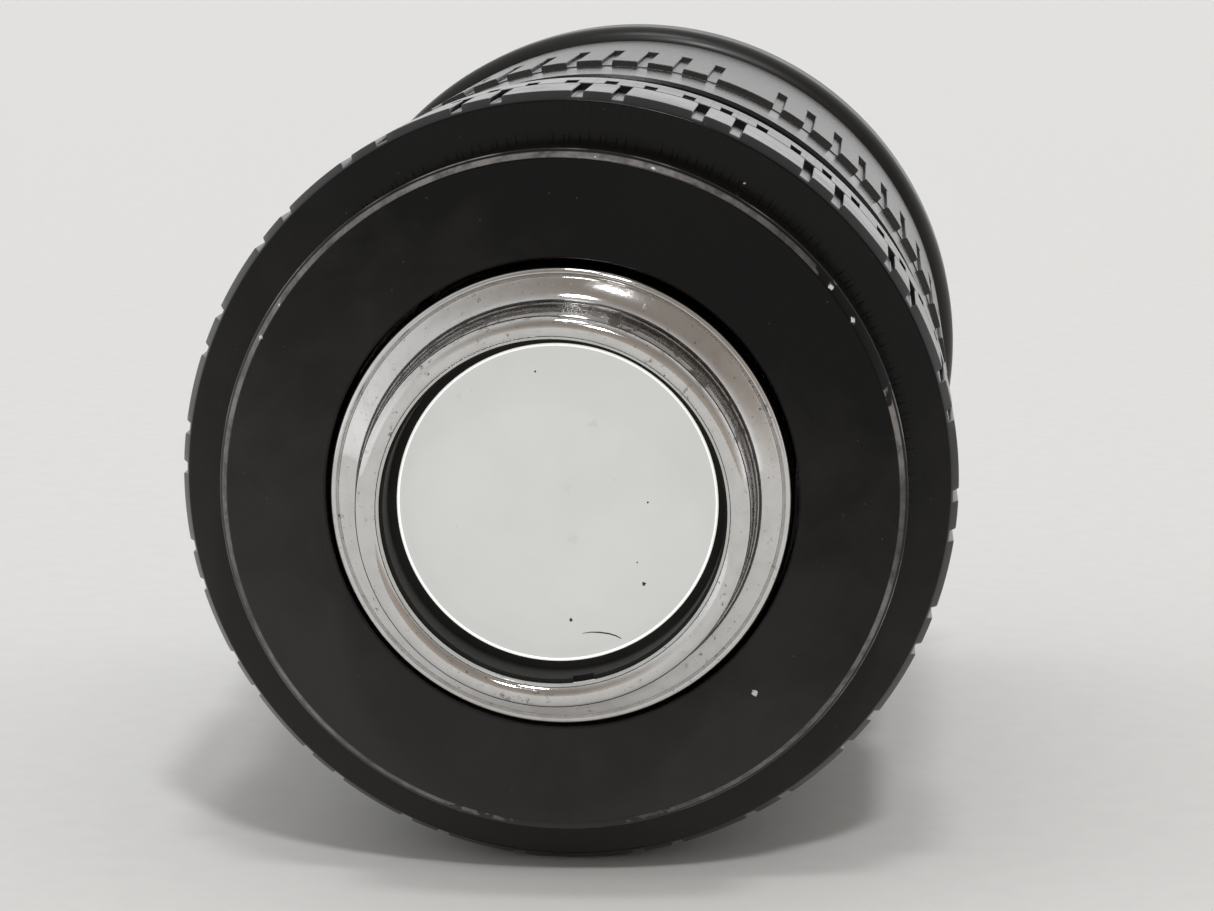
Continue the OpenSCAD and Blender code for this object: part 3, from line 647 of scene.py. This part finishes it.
# Focus grip, with each twelfth notch left out
GRIP_BLOCKS = GRIP_START + 0.9
GRIP_NOTCH_END = GRIP_BLOCKS + 16
GRIP_SEAT_R = GRIP_R - 1.65
grip_knurls = [
    Knurl([0.2 + i * NOTCH_PITCH for i in PLACES if i % 12 != 11], NOTCH_WIDTH,
          GRIP_R - NOTCH_DEPTH, GRIP_R),
]
knurled("focus_grip_shell", [
    (GRIP_SEAT_R, GRIP_START, 0.05, 0.0), (GRIP_R - 0.55, GRIP_START, 0.08, 0.0),
    (GRIP_R - 0.55, GRIP_BLOCKS, 0.06, 0.0), (GRIP_R, GRIP_BLOCKS, 0.10, 1.0),
    (GRIP_R, GRIP_NOTCH_END - 0.06, 0.0, 1.0), (GRIP_R, GRIP_NOTCH_END - 0.01, 0.0, 0.9),
    (GRIP_R, GRIP_NOTCH_END + 0.03, 0.0, 0.12), (GRIP_R, GRIP_NOTCH_END + 0.10, 0.0, 0.0),
    (GRIP_R, GRIP_END - 1.2, 0.3, 0.0), (GRIP_R - 0.5, GRIP_END, 0.2, 0.0),
    (GRIP_SEAT_R, GRIP_END, 0.05, 0.0),
], grip_knurls, FINISH["black_rubber"], "focus", ["focus_grip"])

# Front barrel: a flared rim with a fine filter thread inside it
INNER_R = corner("inner_barrel", HIGH)[0]
NOSE_R = corner("focus_helicoid", HIGH)[0] - 0.4
NOSE_STEP = 74.0
FLARE_START = FRONT_END - 7.1
FLARE_R = 1.9
FRONT_BORE = FRONT_GLASS_R + 0.05
GLASS_SEAT_R = FRONT_BORE - 1.45
THREAD_R = RIM_R - 2.7
THREAD_START = FRONT_END - 4.0
THREAD_PITCH = 0.75
THREAD_DEPTH = 0.32


def thread_sink(row, angle):
    """The thread's radius: a ridge that winds round the bore."""
    if not row[2]:
        return row[0]
    turn = ((row[1] / THREAD_PITCH) - angle / (2 * math.pi)) % 1.0
    return row[0] + row[2] * THREAD_DEPTH * (abs(2 * turn - 1) - 0.5)


thread_rows = [(THREAD_R, y, 0.0, min(1.0, (FRONT_END - 0.4 - y) / 0.3, (y - THREAD_START) / 0.3))
               for y in np.arange(FRONT_END - 0.42, THREAD_START + 0.02, -0.06)]
flare = [(RIM_R - FLARE_R * (1 - math.sin(math.radians(a))),
          FLARE_START + FLARE_R * (1 - math.cos(math.radians(a))), 0.0) for a in range(0, 91, 10)]
turned("front_barrel_shell", [
    (INNER_R, NOSE_START, 0.1), (NOSE_R, NOSE_START, 0.1),
    (NOSE_R, FLARE_START, 0.15), *flare, (RIM_R, FRONT_END - 0.4, 0.15),
    (RIM_R - 0.4, FRONT_END, 0.12), (THREAD_R + 0.4, FRONT_END, 0.10), *thread_rows,
    (THREAD_R, THREAD_START, 0.0), (NAME_R, THREAD_START, 0.08), (NAME_R, NAME_START, 0.0),
    (FRONT_BORE, NAME_START, 0.0), (FRONT_BORE, FRONT_GLASS_START, 0.0),
    (GLASS_SEAT_R, FRONT_GLASS_START, 0.1), (GLASS_SEAT_R, NOSE_STEP, 0.1),
    (INNER_R, NOSE_STEP, 0.1),
], satin_black("satin_black_front", level=0.004, rough=0.33), "optics",
    ["front_barrel"], sink=thread_sink, sharp=24.0)

# Trim ring round the front glass, plain, with fine steps
steps = [(FRONT_BORE + 0.3 + 0.42 * i, NAME_START + 0.78 + 0.13 * i + (0.0 if k else 0.09), 0.02)
         for i in range(6) for k in (0, 1)]
turned("front_trim_ring", [
    (FRONT_BORE + 0.15, NAME_START, 0.0), (NAME_R, NAME_START, 0.0),
    (NAME_R, NAME_START + 1.5, 0.08), *steps[::-1], (FRONT_BORE + 0.15, NAME_START + 0.7, 0.03),
], satin_black("satin_black_trim", level=0.004, rough=0.3), "optics",
    ["name_ring"], sharp=20.0)

# Front glass: a smooth dome over a hollow back
FRONT_EDGE = 79.0
FRONT_CAP_R = 24.0
FRONT_SAG = corner("front_element", HIGH)[1] - FRONT_EDGE
BACK_R = 22.5
BACK_SAG = 0.8


def bowl(rim, sag, base, count):
    """Points of a shallow spherical surface, from the axis to its rim."""
    r = (rim ** 2 + sag ** 2) / (2 * sag)
    return [(x, base + math.sqrt(r * r - x * x) - (r - sag), 0.0) for x in np.linspace(0.0, rim, count)]


turned("front_glass", [
    *bowl(BACK_R, BACK_SAG, FRONT_GLASS_START, 24), (FRONT_GLASS_R, FRONT_GLASS_START, 0.08),
    (FRONT_GLASS_R, FRONT_EDGE, 0.08), *bowl(FRONT_CAP_R, FRONT_SAG, FRONT_EDGE, 40)[::-1],
], coated_glass("coated_glass_front", 105.0), "optics", ["front_element"])


# ---------------------------------------------------------------- lines and numerals

WAIST_R = corner("main_barrel", HIGH)[0]
BAND_R = corner("focus_sleeve", HIGH)[0]
WHITE = enamel("white_fill", (0.72, 0.72, 0.68))
AMBER = enamel("amber_fill", (0.75, 0.42, 0.06))
PROUD = 0.03
INDEX_ANGLE = 130.0


def wrapped(name, obj, body, degrees, y, r, finish):
    """Bends a flat mark, drawn in x and y in millimetres, round the lens at an angle and a place."""
    bpy.context.view_layer.update()
    mesh = obj.to_mesh().copy() if obj.type != "MESH" else obj.data.copy()
    middle = (min(v.co.x for v in mesh.vertices) + max(v.co.x for v in mesh.vertices)) / 2
    for v in mesh.vertices:
        a = math.radians(degrees) - (v.co.x - middle) / r
        radius = (r + v.co.z) * MM
        v.co = (radius * math.cos(a), (y + v.co.y) * MM, radius * math.sin(a))
    bpy.data.objects.remove(obj)
    mesh.name = name
    mesh.materials.clear()
    mesh.materials.append(finish)
    piece = bpy.data.objects.new(name, mesh)
    bpy.context.scene.collection.objects.link(piece)
    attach(piece, body)


def numeral(name, text, size, body, degrees, y, r):
    font = bpy.data.curves.new(name, "FONT")
    font.body = text
    font.size = size
    font.align_x = "CENTER"
    font.align_y = "CENTER"
    font.extrude = PROUD
    font.resolution_u = 6
    obj = bpy.data.objects.new(name + "_flat", font)
    bpy.context.scene.collection.objects.link(obj)
    wrapped(name, obj, body, degrees, y, r, WHITE)


def mark(name, width, length, body, degrees, y, r, finish=WHITE):
    """A short line along the axis, cut into strips so that it follows the curve."""
    columns = 4
    xs = [width * (i / columns - 0.5) for i in range(columns + 1)]
    vertices = [(x, side * length / 2, z) for z in (-PROUD, PROUD) for side in (-1, 1) for x in xs]
    n = columns + 1
    faces = []
    for i in range(columns):
        faces += [(i, n + i, n + i + 1, i + 1), (2 * n + i, 2 * n + i + 1, 3 * n + i + 1, 3 * n + i),
                  (i, i + 1, 2 * n + i + 1, 2 * n + i),
                  (n + i, 3 * n + i, 3 * n + i + 1, n + i + 1)]
    faces += [(0, 2 * n, 3 * n, n), (columns, n + columns, 3 * n + columns, 2 * n + columns)]
    mesh = bpy.data.meshes.new(name + "_flat")
    mesh.from_pydata(vertices, [], faces)
    obj = bpy.data.objects.new(name + "_flat", mesh)
    bpy.context.scene.collection.objects.link(obj)
    wrapped(name, obj, body, degrees, y, r, finish)


def infinity(name, size, body, degrees, y, r):
    """The mark for the far end of the distance scale: a loop crossed once."""
    curve = bpy.data.curves.new(name, "CURVE")
    curve.dimensions = "3D"
    curve.bevel_depth = 0.09
    curve.bevel_resolution = 1
    spline = curve.splines.new("POLY")
    count = 40
    spline.points.add(count - 1)
    spline.use_cyclic_u = True
    for i, point in enumerate(spline.points):
        t = 2 * math.pi * i / count
        point.co = (size * math.cos(t), size * 0.62 * math.sin(2 * t) / 1.3, 0.02 * math.sin(t), 1.0)
    obj = bpy.data.objects.new(name + "_flat", curve)
    bpy.context.scene.collection.objects.link(obj)
    wrapped(name, obj, body, degrees, y, r - 0.05, WHITE)


# Aperture numerals, one at each click
STOP_Y = 22.2
STOP_STEP = 10.0
for i, stop in enumerate(("2.8", "4", "5.6", "8", "11", "16")):
    numeral("stop_" + stop, stop, 2.3, "aperture", INDEX_ANGLE + STOP_STEP * i, STOP_Y, RING_R - 0.05)

# Index line on the barrel's waist
WAIST_END = 36.5
mark("index_line", 0.35, 6.0, "barrel", INDEX_ANGLE, (RING_END + WAIST_END) / 2, WAIST_R, AMBER)

# Distance scale on the focusing ring, with its angles in degrees
SCALE_Y = 41.5
TICK_Y = 38.4
TICK = (0.3, 1.4)
SCALE_END = 20.0
for label, where in (("20", 147.6), ("10", 165.6), ("5", 202.0), ("3", 252.0), ("2", 318.0)):
    numeral("distance_" + label, label, 3.0, "focus", where, SCALE_Y, BAND_R)
    mark("distance_tick_" + label, *TICK, "focus", where, TICK_Y, BAND_R)
infinity("distance_far", 1.7, "focus", INDEX_ANGLE, SCALE_Y, BAND_R)
mark("distance_tick_far", *TICK, "focus", INDEX_ANGLE, TICK_Y, BAND_R)
mark("distance_tick_near", *TICK, "focus", SCALE_END, TICK_Y, BAND_R)

# Depth lines on the waist, on both sides of the index line
DEPTH_Y = 35.2
for stop, spread in (("4", 6.0), ("8", 12.0), ("16", 22.0)):
    for side, hand in ((-1, "left"), (1, "right")):
        mark(f"depth_line_{stop}_{hand}", 0.22, 2.0, "barrel", INDEX_ANGLE + side * spread,
             DEPTH_Y, WAIST_R)


# ---------------------------------------------------------------- floor, light and camera

# The lens lies on its aperture ring and its front rim
FLOOR_R = 7.0
rest_slope = (RIM_R - RING_R) / (FRONT_END - 0.4 - CHAMFER_END)
bpy.ops.mesh.primitive_circle_add(vertices=96, radius=FLOOR_R, fill_type="NGON")
floor = bpy.context.object
floor.name = "pale_floor"
floor.rotation_euler = (-math.atan(rest_slope), 0.0, 0.0)
floor.location = (0.0, CHAMFER_END * MM, -RING_R * MM)
sweep = Paint("pale_paper", specular=0.25)
fibre = sweep.noise(3.0, 4.0, 0.6)
sweep.relief(fibre, 0.02)
floor.data.materials.append(sweep.finish(
    sweep.blend(sweep.between(fibre, 0.35, 0.7), (0.80, 0.80, 0.79, 1.0), (0.78, 0.78, 0.775, 1.0)),
    sweep.between(fibre, 0.3, 0.7, 0.55, 0.65)))

world = bpy.data.worlds.new("studio")
bpy.context.scene.world = world
world.use_nodes = True
tree = world.node_tree
tree.nodes.clear()


def world_node(kind, **inputs):
    """A node of the world, with a value or a link for each input, by its number."""
    node = tree.nodes.new(kind)
    for key, value in inputs.items():
        socket = node.inputs[int(key[1:])]
        if isinstance(value, bpy.types.NodeSocket):
            tree.links.new(value, socket)
        else:
            socket.default_value = value
    return node


direction = tree.nodes.new("ShaderNodeTexCoord").outputs["Generated"]
split = world_node("ShaderNodeSeparateXYZ", _0=direction)

# The room's light by height, from the floor's level to straight above
ramp = world_node("ShaderNodeValToRGB", _0=split.outputs[2])
stops = ramp.color_ramp
stops.elements[0].position = 0.0
stops.elements[0].color = grey(0.85)
stops.elements[1].position = 1.0
stops.elements[1].color = grey(0.58)
for place, level in ((0.12, 0.90), (0.30, 0.78), (0.55, 0.64)):
    stops.elements.new(place).color = grey(level)

# The room is darker, and a little warmer, above and behind the camera and to its right
DARK_SIDE = (0.35, -0.75, 0.56)
facing = world_node("ShaderNodeVectorMath", _0=direction, _1=DARK_SIDE)
facing.operation = "DOT_PRODUCT"
shade = world_node("ShaderNodeMapRange", _0=facing.outputs["Value"], _1=0.35, _2=0.85, _3=0.0, _4=1.0)
tint = tree.nodes.new("ShaderNodeMix")
tint.data_type = "RGBA"
tint.blend_type = "MULTIPLY"
tint.inputs["B"].default_value = grey(0.42, 0.12)
tree.links.new(shade.outputs[0], tint.inputs["Factor"])
tree.links.new(ramp.outputs[0], tint.inputs["A"])
back = world_node("ShaderNodeBackground", _0=tint.outputs["Result"], _1=1.13)
world_node("ShaderNodeOutputWorld", _0=back.outputs[0])


def lamp(name, travel, power, spread):
    """A distant lamp whose light travels in that direction."""
    data = bpy.data.lights.new(name, "SUN")
    data.energy = power
    data.angle = math.radians(spread)
    obj = bpy.data.objects.new(name, data)
    bpy.context.scene.collection.objects.link(obj)
    obj.location = [-c for c in travel]
    obj.rotation_euler = Vector(travel).to_track_quat("-Z", "Y").to_euler()


lamp("key_lamp", (-0.21, 0.74, -1.0), 0.86, 6.0)
lamp("top_lamp", (-0.03, 0.20, -1.0), 0.45, 10.0)

# The camera. Its place is in ring radii from a point on the lens axis, at CAMERA_ZERO_Y.
SENSOR_MM = 36.0
FOCAL_MM = 105.7
CAMERA_ZERO_Y = 6.7
CAMERA_PLACE = (0.762, -9.002, 1.559)
FORWARD = (-0.0724, 0.9839, -0.1632)
RIGHT = (0.9973, 0.0734, 0.0)

camera = bpy.data.objects.new("photo_camera", bpy.data.cameras.new("photo_camera"))
bpy.context.scene.collection.objects.link(camera)
bpy.context.scene.camera = camera
camera.data.sensor_width = SENSOR_MM
camera.data.lens = FOCAL_MM
camera.data.clip_start = 0.01
camera.data.clip_end = 50.0
camera.location = Vector(CAMERA_PLACE) * RING_R * MM + Vector((0.0, CAMERA_ZERO_Y * MM, 0.0))
forward = Vector(FORWARD)
right = Vector(RIGHT).normalized()
up = right.cross(forward).normalized()
camera.rotation_euler = Matrix((right, up, -forward.normalized())).transposed().to_euler()

bpy.context.scene.view_settings.view_transform = "Standard"
